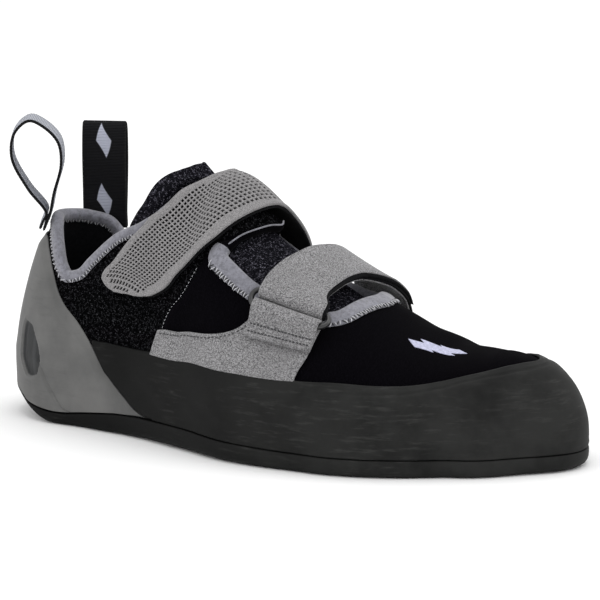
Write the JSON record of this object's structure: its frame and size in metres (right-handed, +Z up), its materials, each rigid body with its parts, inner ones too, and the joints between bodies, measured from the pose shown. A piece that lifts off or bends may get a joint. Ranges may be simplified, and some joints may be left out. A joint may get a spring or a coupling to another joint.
{
  "type": "climbing shoe",
  "caption": "Low-cut climbing shoe for the right foot with a rubber rand, a grey heel cup, hook-and-loop straps, a wire ring and pull loops at the heel.",
  "frame": {"origin": "on the floor plane under the middle of the bounding box", "axes": "+X from heel to toe, +Y to the big toe's side, +Z up from the floor"},
  "size_m": [0.2478, 0.0934, 0.1205],
  "materials": {
    "outsole": "matt black climbing rubber",
    "insole": "thin dark lining board with fabric cover",
    "upper": "black stretch microfibre vamp and black open mesh quarters",
    "tongue": "black open mesh over thin padding",
    "toe_rand": "matt charcoal rubber, lightly scuffed",
    "heel_rand": "matt mid grey rubber",
    "side_overlay": "grey split suede",
    "collar_binding": "soft lavender grey elastic binding",
    "throat_binding": "soft lavender grey elastic binding",
    "strap_top": "grey woven strap with a grid of small square holes",
    "strap_front": "grey split suede outside, black loop pile inside",
    "ring_keeper": "grey split suede",
    "ring": "black coated wire",
    "pull_loop_lateral": "black ribbed webbing",
    "pull_loop_medial": "black ribbed webbing"
  },
  "bodies": {
    "root": {"outsole": "outsole", "insole": "insole", "upper": "upper", "tongue": "tongue", "toe_rand": "toe_rand", "heel_rand": "heel_rand", "side_overlay": "side_overlay", "collar_binding": "collar_binding", "throat_binding": "throat_binding", "strap_top": "strap_top", "strap_front": "strap_front", "ring_keeper": "ring_keeper", "ring": "ring", "pull_loop_lateral": "pull_loop_lateral", "pull_loop_medial": "pull_loop_medial"}
  },
  "joints": []
}
